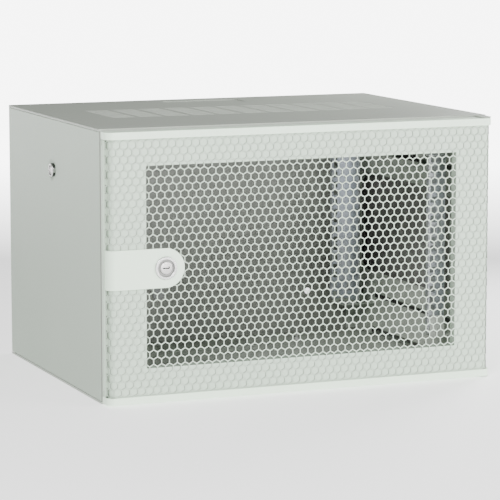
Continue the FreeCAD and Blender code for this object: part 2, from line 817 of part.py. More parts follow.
def rail_bracket(z_plate, z_tip, with_lug):
    """Painted bracket between a right front rail and the side frame's wall."""
    y0 = y_body + rail_setback + rail_t
    half = bracket_t / 2
    inward = 1 if z_tip > z_plate else -1
    z_middle = z_plate + inward * half
    x_web = rail_outer_x + half
    x_wall = wall_inner_x - fit_gap - half
    section = [Vector(x_web, y0, z_tip), Vector(x_web, y0, z_middle), Vector(x_wall, y0, z_middle),
               Vector(x_wall, y0, z_tip)]
    bracket = folded_sheet(section, bracket_t, Vector(0, 1, 0), bracket_depth)
    if with_lug:
        y_lug = y_body + rail_setback
        x_lug = rail_outer_x - lug_width
        floor = box(x_lug, rail_outer_x + bracket_t, y_lug - bracket_t, y0 + bracket_depth,
                    z_plate, z_plate + bracket_t)
        face = box(x_lug, rail_outer_x, y_lug - bracket_t, y_lug, z_plate, z_tip)
        face = face.makeChamfer(bracket_t, [edge for edge in face.Edges
                                            if edge.BoundBox.YLength > bracket_t / 2
                                            and edge.BoundBox.ZMin > z_tip - 1e-6])
        bracket = bracket.fuse([floor, face])
    return bracket


def rail_brackets():
    """Both brackets of the right front rail, each with its bolt hole towards the side frame."""
    low = rail_bracket(bracket_low_z, bracket_low_z + bracket_low_rise, True)
    high = rail_bracket(bracket_high_z, bracket_high_z - bracket_high_drop, False)
    return Part.makeCompound([low.cut(bolt_neck(slot_low_z)), high.cut(bolt_neck(slot_high_z))])


def bolt_neck(z):
    """Square neck of a rail bolt, which can't turn in the slot of the side frame's wall."""
    y = y_body + rail_setback + rail_t + bracket_depth / 2
    return box(wall_inner_x - fit_gap - bracket_t, frame_wall_x + fit_gap, y - m6_radius,
               y + m6_radius, z - m6_radius, z + m6_radius)


def rail_bolts():
    """Bolts of the right front rail: through the wall slots, and through the rail's web."""
    y = y_body + rail_setback + rail_t + bracket_depth / 2
    bolts = []
    x_head = wall_inner_x - fit_gap - bracket_t
    x_nut = frame_wall_x + fit_gap
    for z in (slot_low_z, slot_high_z):
        head = hex_head(Vector(x_head, y, z), Vector(-1, 0, 0), m6_flats, m6_head)
        nut = hex_head(Vector(x_nut, y, z), Vector(1, 0, 0), m6_flats, m6_head)
        bolts.append(head.fuse([bolt_neck(z), nut]))
        x_web = rail_outer_x - rail_t
        z_web = z + web_bolt_rise
        bolts.append(hex_head(Vector(x_web, y, z_web), Vector(-1, 0, 0), m6_flats, m6_head))
        bolts.append(hex_head(Vector(rail_outer_x + bracket_t, y, z_web), Vector(1, 0, 0), m6_flats,
                              m6_head))
    return Part.makeCompound(bolts)


def to_rear(shape):
    """Copy of a right front rail piece mirrored to the rear."""
    middle_y = (y_body + y_rear) / 2
    return shape.mirror(Vector(0, middle_y, 0), Vector(0, 1, 0))


def frame_screws(side):
    """Screws that join a side frame to the front folds and to the rear panel, heads inside."""
    heads = []
    y_front = y_frame + frame_t
    for z in (fold_depth / 2, body_height - fold_depth / 2):
        for x in (frame_flange_x + frame_screw_inset, frame_post_x - frame_t - frame_screw_inset):
            heads.append(hex_head(Vector(side * x, y_front, z), Vector(0, 1, 0), screw_flats, screw_head))
    x_rear = frame_wall_x - frame_back_flange / 2
    for z in (middle_z - wall_hole_dz / 2, middle_z, middle_z + wall_hole_dz / 2):
        heads.append(hex_head(Vector(side * x_rear, y_back_panel - frame_t, z), Vector(0, -1, 0),
                              screw_flats, screw_head))
    return Part.makeCompound(heads)


def rear_screws():
    """Screws that join the rear panel's folds to the top and the bottom, heads inside."""
    heads = []
    y = y_rear - fold_depth / 2
    for x in (-wall_hole_dx / 2, wall_hole_dx / 2):
        heads.append(hex_head(Vector(x, y, 2 * panel_t), Vector(0, 0, 1), screw_flats, screw_head))
        heads.append(hex_head(Vector(x, y, body_height - 2 * panel_t), Vector(0, 0, -1), screw_flats,
                              screw_head))
    return Part.makeCompound(heads)


def earth_stud():
    """Earthing stud that stands on the floor near the back."""
    y = y_rear - earth_back
    return rod(m6_radius, Vector(earth_x, y, panel_t), Vector(earth_x, y, panel_t + earth_height))


def earth_nut():
    """Nut on the earthing stud."""
    y = y_rear - earth_back
    nut = hex_head(Vector(earth_x, y, panel_t), Vector(0, 0, 1), m6_flats, m6_head)
    return nut.cut(rod(m6_radius, Vector(earth_x, y, 0), Vector(earth_x, y, 4 * m6_head)))


def save(name, shape):
    """Write one piece under its own name."""
    shape.exportStep("parts/" + name + ".step")


os.makedirs("parts", exist_ok=True)

under_top = body_height - panel_t
save("top_panel", top_panel())
save("bottom_panel", bottom_panel())
save("rear_panel", rear_panel())
save("top_entry_cover", entry_cover(under_top, -1))
save("bottom_entry_cover", entry_cover(panel_t, 1))
save("top_entry_screws", entry_cover_screws(under_top - panel_t, -1))
save("bottom_entry_screws", entry_cover_screws(2 * panel_t, 1))
save("rear_panel_screws", rear_screws())
save("earth_stud", earth_stud())
save("earth_nut", earth_nut())
save("hinge_bracket_top", hinge_bracket_top())
save("hinge_bracket_bottom", hinge_bracket_bottom())
save("hinge_pin_top", hinge_pin(under_top - tongue_t, -1))
save("hinge_pin_bottom", hinge_pin(tongue_t, 1))

save("door_frame", door_pan())
save("door_mesh", door_mesh())
save("door_edge_right", door_edge())
save("door_edge_left", mirror_x(door_edge()))
save("door_cap_top", door_cap(door_high, -1))
save("door_cap_bottom", door_cap(door_low, 1))
save("hinge_bush_top", hinge_bush(door_high, -1))
save("hinge_bush_bottom", hinge_bush(door_low, 1))
save("lock_tab", lock_tab())
save("door_lock_housing", lock_housing())
save("door_lock_clip", lock_clip())
save("door_lock_plug", lock_plug())
save("door_lock_cam", lock_cam())
save("door_lock_cam_screw", lock_cam_screw())

right_pieces = {
    "side_frame": side_frame(),
    "side_panel": side_panel(),
    "side_lock_housing": side_lock_housing(),
    "side_lock_clip": side_lock_clip(),
    "side_lock_plug": side_lock_plug(),
    "side_lock_cam": side_lock_cam(),
}
for piece_name, piece in right_pieces.items():
    save(piece_name + "_right", piece)
    save(piece_name + "_left", mirror_x(piece))
save("frame_screws_right", frame_screws(1))
save("frame_screws_left", frame_screws(-1))

rail_pieces = {"rail": front_rail(), "rail_brackets": rail_brackets(), "rail_bolts": rail_bolts()}
for piece_name, piece in rail_pieces.items():
    save(piece_name + "_front_right", piece)
    save(piece_name + "_front_left", mirror_x(piece))
    save(piece_name + "_rear_right", to_rear(piece))
    save(piece_name + "_rear_left", mirror_x(to_rear(piece)))
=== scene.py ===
import json
import math

import bmesh
import bpy
from mathutils import Matrix, Vector

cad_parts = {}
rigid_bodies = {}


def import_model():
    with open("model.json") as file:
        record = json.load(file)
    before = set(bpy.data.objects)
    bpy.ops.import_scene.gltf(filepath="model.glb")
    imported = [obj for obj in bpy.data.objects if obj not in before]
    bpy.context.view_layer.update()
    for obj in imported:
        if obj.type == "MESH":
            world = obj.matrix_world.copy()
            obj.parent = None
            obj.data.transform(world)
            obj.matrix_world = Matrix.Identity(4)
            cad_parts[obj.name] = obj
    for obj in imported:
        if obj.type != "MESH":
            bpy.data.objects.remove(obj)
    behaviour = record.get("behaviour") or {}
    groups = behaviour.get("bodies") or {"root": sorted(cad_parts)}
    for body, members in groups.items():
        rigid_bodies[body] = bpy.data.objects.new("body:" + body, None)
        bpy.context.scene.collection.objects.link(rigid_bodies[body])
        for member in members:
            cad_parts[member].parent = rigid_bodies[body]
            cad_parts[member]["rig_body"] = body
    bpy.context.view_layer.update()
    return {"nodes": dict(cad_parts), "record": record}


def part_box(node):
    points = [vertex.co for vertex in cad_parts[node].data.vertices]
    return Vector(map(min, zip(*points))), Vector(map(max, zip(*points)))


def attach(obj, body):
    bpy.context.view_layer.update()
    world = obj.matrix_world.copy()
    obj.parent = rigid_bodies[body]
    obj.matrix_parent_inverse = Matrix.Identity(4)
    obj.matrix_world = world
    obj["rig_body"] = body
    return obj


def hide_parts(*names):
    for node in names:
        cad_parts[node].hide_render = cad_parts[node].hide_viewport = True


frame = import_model()

MM = 0.001

# Camera, as the photograph was taken: place in metres, angles in degrees
camera_place = Vector((-1.4386, -3.5189, 0.7210))
camera_turn = 22.33
camera_dip = 8.158
camera_lens = 183.5
camera_sensor = 36.0

# Door grille, at its real pitch
hole_pitch = 11.767 * MM
web_width = 1.6 * MM
hole_start = Vector((-83.35 * MM, 284.23 * MM))
sheet_thickness = 1.0 * MM
# Width of the dark ring round each hole: a painted shadow line at the hole's rim.
hole_shade_ring = 0.22 * MM
bend_radius = 9.6 * MM
bend_steps = 8

# Top vents
vent_columns = 11
vent_pitch = 41.5 * MM
vent_length = 36.0 * MM
vent_rows = 16
vent_row_pitch = 8.1 * MM
vent_slot = 4.2 * MM
vent_middle_y = 18.5 * MM
panel_thickness = 1.2 * MM
rim_height = 3.4 * MM
top_fold = 21.0 * MM
fold_half_width = 291.0 * MM
entry_half = Vector((63.0 * MM, 22.0 * MM))
edge_bend = 1.1 * MM

# Locks: a recess is given as its depth and width
key_slot_length = 10.0 * MM
key_slot_width = 1.8 * MM
key_slot_depth = 3.5 * MM
key_notch = 1.5 * MM
plug_edge = 1.0 * MM
door_plug_radius = 9.0 * MM
door_lock_recess = (1.8 * MM, 3.4 * MM)
door_spindle = 7.0 * MM
side_lock_radius = 10.0 * MM
side_lock_stand = 5.0 * MM
side_plug_radius = 6.5 * MM
side_lock_recess = (1.2 * MM, 1.4 * MM)
side_spindle = 6.0 * MM
# Half height of the side-lock barrel's bright middle band; above and below it the barrel side is dark, a
# painted reflection.
bright_band_half = 2.6 * MM
bore_play = 0.05 * MM

# Floor: its glow grows behind the cabinet, by distance in metres
floor_base = (0.92, 0.92, 0.92, 1)
glow_way = (0.38, 0.925, 0.0)
glow_distances = (1.1, 2.8)
glow_strengths = (1.0, 7.0)


def low(node):
    """Lowest corner of a CAD node."""
    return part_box(node)[0]


def high(node):
    """Highest corner of a CAD node."""
    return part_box(node)[1]


def middle(node):
    """Middle of a CAD node."""
    return (low(node) + high(node)) / 2


# Materials

def new_material(name):
    """Empty node material with its principled shader and an object-space coordinate."""
    material = bpy.data.materials.new(name)
    material.use_nodes = True
    nodes = material.node_tree.nodes
    shader = nodes["Principled BSDF"]
    coordinates = nodes.new("ShaderNodeTexCoord")
    return material, shader, coordinates


def noise(material, coordinates, scale, detail=2.0, stretch=None):
    """Noise texture in object space, stretched along an axis where asked."""
    nodes = material.node_tree.nodes
    links = material.node_tree.links
    texture = nodes.new("ShaderNodeTexNoise")
    texture.inputs["Scale"].default_value = scale
    texture.inputs["Detail"].default_value = detail
    source = coordinates.outputs["Object"]
    if stretch is not None:
        mapping = nodes.new("ShaderNodeMapping")
        mapping.inputs["Scale"].default_value = stretch
        links.new(source, mapping.inputs["Vector"])
        source = mapping.outputs["Vector"]
    links.new(source, texture.inputs["Vector"])
    return texture


def spread(material, value, from_low, from_high, to_low, to_high):
    """Value moved from one range to another."""
    node = material.node_tree.nodes.new("ShaderNodeMapRange")
    for name, number in (("From Min", from_low), ("From Max", from_high),
                         ("To Min", to_low), ("To Max", to_high)):
        node.inputs[name].default_value = number
    material.node_tree.links.new(value, node.inputs["Value"])
    return node.outputs["Result"]


def blend_colours(material, factor, first, second):
    """Colour between two, by a factor."""
    node = material.node_tree.nodes.new("ShaderNodeMix")
    node.data_type = "RGBA"
    node.inputs["A"].default_value = (*first, 1)
    node.inputs["B"].default_value = (*second, 1)
    material.node_tree.links.new(factor, node.inputs["Factor"])
    return node.outputs["Result"]


def add_bump(material, shader, height, strength, distance):
    """Bump from a height into the shader's normal, after any bump that is there."""
    node = material.node_tree.nodes.new("ShaderNodeBump")
    node.inputs["Strength"].default_value = strength
    node.inputs["Distance"].default_value = distance
    links = material.node_tree.links
    links.new(height, node.inputs["Height"])
    if shader.inputs["Normal"].is_linked:
        links.new(shader.inputs["Normal"].links[0].from_socket, node.inputs["Normal"])
    links.new(node.outputs["Normal"], shader.inputs["Normal"])


def powder_coat(name, colour, roughness, grain):
    """Powder-coated steel: fine grain over a soft orange peel, with a faint change of tone."""
    material, shader, coordinates = new_material(name)
    links = material.node_tree.links
    cloud = noise(material, coordinates, 9.0, 3.0)
    factor = spread(material, cloud.outputs["Fac"], 0.3, 0.7, 0.0, 1.0)
    darker = [channel * 0.97 for channel in colour]
    links.new(blend_colours(material, factor, darker, colour), shader.inputs["Base Color"])
    peel = noise(material, coordinates, 260.0, 2.0)
    fine = noise(material, coordinates, 1400.0, 2.0)
    rough = spread(material, peel.outputs["Fac"], 0.3, 0.7, roughness - 0.05, roughness + 0.06)
    links.new(rough, shader.inputs["Roughness"])
    shader.inputs["Specular IOR Level"].default_value = 0.45
    add_bump(material, shader, peel.outputs["Fac"], 0.35 * grain, 0.00025)
    add_bump(material, shader, fine.outputs["Fac"], 0.3 * grain, 0.00006)
    return material


def zinc_plate(name, colour, tint, roughness):
    """Zinc-plated sheet: rolling lines along the length and a faint blue to straw passivation."""
    material, shader, coordinates = new_material(name)
    links = material.node_tree.links
    cloud = noise(material, coordinates, 34.0, 3.0, (1.0, 1.0, 0.35))
    factor = spread(material, cloud.outputs["Fac"], 0.3, 0.72, 0.0, 1.0)
    links.new(blend_colours(material, factor, colour, tint), shader.inputs["Base Color"])
    shader.inputs["Metallic"].default_value = 0.9
    lines = noise(material, coordinates, 900.0, 2.0, (1.0, 1.0, 0.02))
    rough = spread(material, lines.outputs["Fac"], 0.3, 0.7, roughness - 0.06, roughness + 0.08)
    links.new(rough, shader.inputs["Roughness"])
    add_bump(material, shader, lines.outputs["Fac"], 0.2, 0.00005)
    return material


def plated_metal(name, colour, roughness, scratch):
    """Plated or turned metal with very fine scratches."""
    material, shader, coordinates = new_material(name)
    links = material.node_tree.links
    shader.inputs["Metallic"].default_value = 1.0
    wear = noise(material, coordinates, 700.0, 4.0)
    factor = spread(material, wear.outputs["Fac"], 0.35, 0.7, 0.0, 1.0)
    darker = [channel * 0.9 for channel in colour]
    links.new(blend_colours(material, factor, darker, colour), shader.inputs["Base Color"])
    rough = spread(material, wear.outputs["Fac"], 0.3, 0.7, roughness * 0.75, roughness * 1.35)
    links.new(rough, shader.inputs["Roughness"])
    add_bump(material, shader, wear.outputs["Fac"], scratch, 0.00003)
    return material


def moulded_plastic(name, colour, roughness):
    """Moulded plastic with a fine eroded texture."""
    material, shader, coordinates = new_material(name)
    links = material.node_tree.links
    grain = noise(material, coordinates, 1200.0, 3.0)
    factor = spread(material, grain.outputs["Fac"], 0.3, 0.7, 0.0, 1.0)
    lighter = [channel * 1.3 for channel in colour]
    links.new(blend_colours(material, factor, colour, lighter), shader.inputs["Base Color"])
    rough = spread(material, grain.outputs["Fac"], 0.3, 0.7, roughness - 0.08, roughness + 0.08)
    links.new(rough, shader.inputs["Roughness"])
    add_bump(material, shader, grain.outputs["Fac"], 0.25, 0.00005)
    return material


# The cabinet has one paint, given here in copies. Body, shell and inner are darker, as painted shade on
# the sides, top, back and inside. Frame, door and trim are lighter, as painted light on the inner frames,
# door face and trims.
body_paint_shaded = powder_coat("body_paint_shaded", (0.375, 0.445, 0.367), 0.46, 1.0)
shell_paint_shaded = powder_coat("shell_paint_shaded", (0.395, 0.43, 0.377), 0.48, 1.0)
inner_paint_shaded = powder_coat("inner_paint_shaded", (0.33, 0.345, 0.312), 0.5, 1.0)
frame_paint_lit = powder_coat("frame_paint_lit", (0.56, 0.6, 0.54), 0.48, 1.0)
# Painted shade: dark grey on the side panels' inner and front faces, standing in for the shade inside the
# cabinet and in the gap beside the door.
painted_shade_grey = powder_coat("painted_shade_grey", (0.29, 0.29, 0.275), 0.62, 1.0)
door_paint_lit = powder_coat("door_paint_lit", (0.54, 0.65, 0.53), 0.44, 0.9)
# Painted shade: near-black for the shadow lines at the hole rims and on the hole walls.
hole_shade_paint = powder_coat("hole_shade_paint", (0.13, 0.145, 0.125), 0.55, 0.8)
trim_paint_lit = powder_coat("trim_paint_lit", (0.78, 0.94, 0.76), 0.4, 0.7)
zinc = zinc_plate("zinc", (0.68, 0.72, 0.79), (0.78, 0.8, 0.82), 0.36)
fastener = zinc_plate("fastener", (0.62, 0.63, 0.64), (0.72, 0.72, 0.7), 0.3)
chrome = plated_metal("chrome", (0.62, 0.62, 0.61), 0.25, 0.1)
# Painted reflection: the dark bands on the side-lock barrels.
dark_reflection_chrome = plated_metal("dark_reflection_chrome", (0.11, 0.11, 0.11), 0.22, 0.1)
bezel_nickel = plated_metal("bezel_nickel", (0.6, 0.6, 0.59), 0.3, 0.15)
satin = plated_metal("satin_nickel", (0.56, 0.54, 0.53), 0.32, 0.25)
# Painted shade: darker metal in the lock recesses.
recess_shade_metal = plated_metal("recess_shade_metal", (0.27, 0.27, 0.26), 0.5, 0.2)
# Painted shade: the lock cams made near-black, standing in for the shade they sit in.
cam_shade_metal = plated_metal("cam_shade_metal", (0.11, 0.115, 0.11), 0.5, 0.25)
acetal = moulded_plastic("acetal", (0.03, 0.03, 0.032), 0.5)
# Painted shade: near-black inside the key slots.
key_slot_shade = moulded_plastic("key_slot_shade", (0.012, 0.012, 0.013), 0.6)

# Painted slots take the shaded shell copy and the lit trim copy of the one paint.
slot_materials = {
    "painted_steel": shell_paint_shaded,
    "door_trim": trim_paint_lit,
    "zinc_steel": zinc,
    "lock_chrome": chrome,
    "lock_steel": satin,
    "hardware": fastener,
    "bush": acetal,
}
node_slots = {row["node"]: row["material_slot"] for row in frame["record"]["subparts"]}


# Mesh tools

def set_material(piece, material):
    """Give a CAD node its one material."""
    piece.data.materials.clear()
    piece.data.materials.append(material)


def new_piece(name, mesh, *materials):
    """Object in the scene from a bmesh."""
    data = bpy.data.meshes.new(name)
    mesh.to_mesh(data)
    mesh.free()
    piece = bpy.data.objects.new(name, data)
    bpy.context.scene.collection.objects.link(piece)
    for material in materials:
        data.materials.append(material)
    return piece


def dress(node, material, bend, painted_tone=None, painted_tone_ways=()):
    """Piece with a CAD node's shape and softened sheet edges, shown in the node's place.

    Faces that look along one of the painted tone ways take the painted tone: a copy of the paint, darker
    as painted shade or lighter as painted light.
    """
    mesh = bmesh.new()
    mesh.from_mesh(frame["nodes"][node].data)
    bmesh.ops.remove_doubles(mesh, verts=mesh.verts, dist=0.005 * MM)
    bmesh.ops.dissolve_limit(mesh, angle_limit=math.radians(0.5), verts=mesh.verts,
                             edges=mesh.edges, delimit={"NORMAL"})
    piece = new_piece(node + "_dressed", mesh, material)
    bevel = piece.modifiers.new("edges", "BEVEL")
    bevel.width = bend
    bevel.segments = 3
    bevel.limit_method = "ANGLE"
    bevel.angle_limit = math.radians(40)
    bevel.use_clamp_overlap = True
    apply_modifiers(piece)
    smooth_by_angle(piece, 35)
    if painted_tone is not None:
        piece.data.materials.append(painted_tone)
        for face in piece.data.polygons:
            if any(face.normal.dot(way) > 0.9 for way in painted_tone_ways):
                face.material_index = 1
    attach(piece, frame["nodes"][node]["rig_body"])
    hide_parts(node)
    return piece


def smooth_by_angle(piece, degrees):
    """Smooth shading with sharp edges above an angle."""
    data = piece.data
    data.polygons.foreach_set("use_smooth", [True] * len(data.polygons))
    mesh = bmesh.new()
    mesh.from_mesh(data)
    for edge in mesh.edges:
        edge.smooth = len(edge.link_faces) == 2 and edge.calc_face_angle(0) < math.radians(degrees)
    mesh.to_mesh(data)
    mesh.free()
    weighted = piece.modifiers.new("weighted", "WEIGHTED_NORMAL")
    weighted.keep_sharp = True
    weighted.weight = 100
    apply_modifiers(piece)


def apply_modifiers(piece):
    """Keep the shape and the normals that a piece's modifiers give it."""
    shown = bpy.context.evaluated_depsgraph_get()
    data = bpy.data.meshes.new_from_object(piece.evaluated_get(shown))
    piece.modifiers.clear()
    piece.data = data


def lathe(profile, centre, axis, steps=64):
    """Closed ring of a profile, given as pairs of distance along the axis and radius."""
    mesh = bmesh.new()
    turn = axis.to_track_quat("Z", "Y").to_matrix()
    rings = []
    for along, radius in profile:
        ring = []
        for step in range(steps):
            angle = 2 * math.pi * step / steps
            point = Vector((radius * math.cos(angle), radius * math.sin(angle), along))
            ring.append(mesh.verts.new(centre + turn @ point))
        rings.append(ring)
    for first, second in zip(rings, rings[1:] + rings[:1]):
        for step in range(steps):
            after = (step + 1) % steps
            mesh.faces.new((first[step], first[after], second[after], second[step]))
    bmesh.ops.recalc_face_normals(mesh, faces=mesh.faces)
    return mesh


# Door grille

def grille_cells(half_width, z_low, z_high):
    """Flat lattice of hexagonal rings in the plane of the unrolled sheet."""
    mesh = bmesh.new()
    row_pitch = hole_pitch * math.sqrt(3) / 2
    cell_radius = hole_pitch / math.sqrt(3)
    hole_radius = (hole_pitch - web_width) / math.sqrt(3)
    first_row = math.floor((z_low - hole_start.y) / row_pitch) - 1
    last_row = math.ceil((z_high - hole_start.y) / row_pitch) + 1
    first_column = math.floor((-half_width - hole_start.x) / hole_pitch) - 1
    last_column = math.ceil((half_width - hole_start.x) / hole_pitch) + 1
    angles = [math.radians(30 + 60 * step) for step in range(6)]
    corners = [Vector((math.cos(angle), 0, math.sin(angle))) for angle in angles]
    for row in range(first_row, last_row + 1):
        z = hole_start.y + row * row_pitch
        shift = hole_pitch / 2 if row % 2 else 0
        for column in range(first_column, last_column + 1):
            centre = Vector((hole_start.x + column * hole_pitch + shift, 0, z))
            # Each cell has its web and an inner ring; the inner ring takes the dark tone, a painted
            # shadow line round the hole.
            rings = [[mesh.verts.new(centre + corner * radius) for corner in corners]
                     for radius in (cell_radius, hole_radius + hole_shade_ring, hole_radius)]
            for ring, (outer, inner) in enumerate(zip(rings, rings[1:])):
                for step in range(6):
                    after = (step + 1) % 6
                    face = mesh.faces.new((outer[step], inner[step], inner[after], outer[after]))
                    face.material_index = ring
    bmesh.ops.remove_doubles(mesh, verts=mesh.verts, dist=0.01 * MM)
    return mesh


def cut_lattice(mesh, place, direction, remove):
    """Cut a flat mesh by a plane, dropping what lies beyond where asked."""
    everything = mesh.verts[:] + mesh.edges[:] + mesh.faces[:]
    bmesh.ops.bisect_plane(mesh, geom=everything, dist=0.001 * MM, plane_co=place,
                           plane_no=direction, clear_outer=remove)


def thicken(mesh, offset):
    """Give a flat mesh a back and the walls of its holes."""
    front = mesh.faces[:]
    extruded = bmesh.ops.extrude_face_region(mesh, geom=front, use_keep_orig=True)
    moved = [item for item in extruded["geom"] if isinstance(item, bmesh.types.BMVert)]
    bmesh.ops.translate(mesh, verts=moved, vec=offset)
    bmesh.ops.recalc_face_normals(mesh, faces=mesh.faces)


def roll(point, flat_half, y_front, y_end):
    """Place of a point of the flat sheet once its two sides are rolled back."""
    side = math.copysign(1, point.x)
    beyond = abs(point.x) - flat_half
    if beyond <= 0:
        return Vector((point.x, y_front + point.y, point.z))
    middle_radius = bend_radius - sheet_thickness / 2
    arc = middle_radius * math.pi / 2
    radius = bend_radius - point.y
    if beyond < arc:
        angle = beyond / middle_radius
        return Vector((side * (flat_half + radius * math.sin(angle)),
                       y_front + bend_radius - radius * math.cos(angle), point.z))
    straight = y_front + bend_radius + beyond - arc
    return Vector((side * (flat_half + radius), min(straight, y_end), point.z))


def door_grille():
    """Perforated sheet over the whole door face, rolled back at both sides."""
    y_front = low("door_mesh").y
    y_end = high("door_edge_right").y
    z_low = low("door_mesh").z
    z_high = high("door_mesh").z
    flat_half = high("door_mesh").x
    arc = (bend_radius - sheet_thickness / 2) * math.pi / 2
    half_width = flat_half + arc + (y_end - y_front - bend_radius)
    mesh = grille_cells(half_width, z_low, z_high)
    cut_lattice(mesh, Vector((0, 0, z_low)), Vector((0, 0, -1)), True)
    cut_lattice(mesh, Vector((0, 0, z_high)), Vector((0, 0, 1)), True)
    for side in (-1, 1):
        outwards = Vector((side, 0, 0))
        cut_lattice(mesh, outwards * half_width, outwards, True)
        for step in range(bend_steps + 1):
            cut_lattice(mesh, outwards * (flat_half + arc * step / bend_steps), outwards, False)
    thicken(mesh, Vector((0, sheet_thickness, 0)))
    # Hole walls and sheet edges take the dark tone, as painted shade.
    for face in mesh.faces:
        if abs(face.normal.y) < 0.5:
            face.material_index = 1
    for vertex in mesh.verts:
        vertex.co = roll(vertex.co, flat_half, y_front, y_end)
    # Door face in the lit copy of the paint as painted light, with painted shade at the holes.
    piece = new_piece("door_grille", mesh, door_paint_lit, hole_shade_paint)
    smooth_by_angle(piece, 30)
    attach(piece, "door")
    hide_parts("door_mesh", "door_edge_left", "door_edge_right")


# Top panel

def vent_spans():
    """Start and end of each vent column along X and of each slot along Y."""
    columns = []
    for column in range(vent_columns):
        x = (column - (vent_columns - 1) / 2) * vent_pitch
        columns.append((x - vent_length / 2, x + vent_length / 2))
    rows = []
    for row in range(vent_rows):
        y = vent_middle_y + (row - (vent_rows - 1) / 2) * vent_row_pitch
        rows.append((y - vent_slot / 2, y + vent_slot / 2))
    return columns, rows


def top_tray():
    """Top panel as one folded sheet, with its vent slots and the cable entry."""
    lowest = low("top_panel")
    highest = high("top_panel")
    entry = middle("top_entry_cover")
    columns, rows = vent_spans()
    entry_x = (-entry_half.x, entry_half.x)
    entry_y = (entry.y - entry_half.y, entry.y + entry_half.y)
    x_lines = {lowest.x, lowest.x + panel_thickness, -fold_half_width, fold_half_width,
               highest.x - panel_thickness, highest.x, *entry_x}
    y_lines = {lowest.y, lowest.y + panel_thickness, highest.y, *entry_y}
    for span in columns:
        x_lines.update(span)
    for span in rows:
        y_lines.update(span)
    x_lines = sorted(x_lines)
    y_lines = sorted(y_lines)

    def inside(value, spans):
        return any(first < value < last for first, last in spans)

    mesh = bmesh.new()
    grid = [[mesh.verts.new((x, y, highest.z)) for x in x_lines] for y in y_lines]
    for j in range(len(y_lines) - 1):
        for i in range(len(x_lines) - 1):
            x = (x_lines[i] + x_lines[i + 1]) / 2
            y = (y_lines[j] + y_lines[j + 1]) / 2
            if inside(x, columns) and inside(y, rows):
                continue
            if inside(x, [entry_x]) and inside(y, [entry_y]):
                continue
            mesh.faces.new((grid[j][i], grid[j][i + 1], grid[j + 1][i + 1], grid[j + 1][i]))
    thicken(mesh, Vector((0, 0, -panel_thickness)))

    def lower_faces(z, x_limit, front_only):
        found = []
        for face in mesh.faces:
            centre = face.calc_center_median()
            if abs(centre.z - z) > 0.01 * MM or face.normal.z > -0.9:
                continue
            at_front = centre.y < lowest.y + panel_thickness
            at_side = abs(centre.x) > highest.x - panel_thickness
            if at_front and abs(centre.x) < x_limit or at_side and not front_only:
                found.append(face)
        return found

    def draw_down(faces, distance):
        extruded = bmesh.ops.extrude_face_region(mesh, geom=faces)
        moved = [item for item in extruded["geom"] if isinstance(item, bmesh.types.BMVert)]
        bmesh.ops.translate(mesh, verts=moved, vec=Vector((0, 0, -distance)))
        bmesh.ops.delete(mesh, geom=faces, context="FACES")

    z_under = highest.z - panel_thickness
    draw_down(lower_faces(z_under, highest.x + 1, False), rim_height - panel_thickness)
    mesh.normal_update()
    draw_down(lower_faces(highest.z - rim_height, fold_half_width, True), top_fold - rim_height)
    bmesh.ops.recalc_face_normals(mesh, faces=mesh.faces)

    outline = []
    slot_corners = []
    for edge in mesh.edges:
        start, end = (vertex.co for vertex in edge.verts)
        centre = (start + end) / 2
        on_top = abs(start.z - highest.z) < 0.01 * MM and abs(end.z - highest.z) < 0.01 * MM
        at_side = abs(abs(centre.x) - highest.x) < 0.01 * MM
        at_front = abs(centre.y - lowest.y) < 0.01 * MM
        if on_top and (at_side or at_front):
            outline.append(edge)
        upright = abs(start.z - end.z) > panel_thickness / 2 and abs(start.x - end.x) < 0.01 * MM
        on_column = any(abs(centre.x - x) < 0.01 * MM for span in columns for x in span)
        on_row = any(abs(centre.y - y) < 0.01 * MM for span in rows for y in span)
        if upright and on_column and on_row:
            slot_corners.append(edge)
    bmesh.ops.bevel(mesh, geom=outline, offset=edge_bend, offset_type="OFFSET", segments=4,
                    profile=0.5, affect="EDGES", clamp_overlap=False)
    slot_corners = [edge for edge in slot_corners if edge.is_valid]
    bmesh.ops.bevel(mesh, geom=slot_corners, offset=vent_slot * 0.45, offset_type="OFFSET",
                    segments=4, profile=0.5, affect="EDGES", clamp_overlap=True)
    # Top in the shaded copy of the paint, as painted shade.
    piece = new_piece("top_tray", mesh, shell_paint_shaded)
    smooth_by_angle(piece, 30)
    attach(piece, "cabinet")
    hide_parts("top_panel")


# Locks

def arc_profile(start_angle, end_angle, along, radius, size, steps=5):
    """Quarter-round stretch of a lathe profile about a centre."""
    points = []
    for step in range(steps + 1):
        angle = math.radians(start_angle + (end_angle - start_angle) * step / steps)
        points.append((along + size * math.cos(angle), radius + size * math.sin(angle)))
    return points


def lock_bezel(name, node, centre, outwards, outer, inner, height, recess, depth, metals):
    """Plated lock body: rounded bezel, ring-shaped recess and the barrel behind it."""
    recess_depth, recess_width = recess
    rim = inner + recess_width
    round_size = min(height * 0.45, 1.1 * MM)
    profile = [(0, outer)]
    profile += arc_profile(90, 0, height - round_size, outer - round_size, round_size)
    profile += [(height, rim + 0.4 * MM), (height - 0.3 * MM, rim),
                (height - recess_depth, rim - 0.2 * MM), (height - recess_depth, inner + bore_play),
                (-depth, inner + bore_play), (-depth, inner + 1.0 * MM), (0, inner + 1.0 * MM)]
    mesh = lathe(profile, centre, outwards)
    for face in mesh.faces:
        reach = face.calc_center_median() - centre
        along = reach.dot(outwards)
        radius = (reach - outwards * along).length
        # Recess faces take the darker recess tone, as painted shade. Barrel side faces outside the middle
        # band take the third metal, which on the side locks is a painted dark reflection.
        if radius < rim:
            face.material_index = 1
        elif along < height - round_size and abs(reach.z) > bright_band_half:
            face.material_index = 2
    piece = new_piece(name, mesh, *metals)
    smooth_by_angle(piece, 30)
    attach(piece, frame["nodes"][node]["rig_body"])
    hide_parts(node)


def box_between(mesh, first, last):
    """Block between two corners, added to a mesh."""
    size = [abs(side) for side in last - first]
    place = Matrix.Translation((first + last) / 2) @ Matrix.Diagonal((*size, 1))
    bmesh.ops.create_cube(mesh, size=1.0, matrix=place)


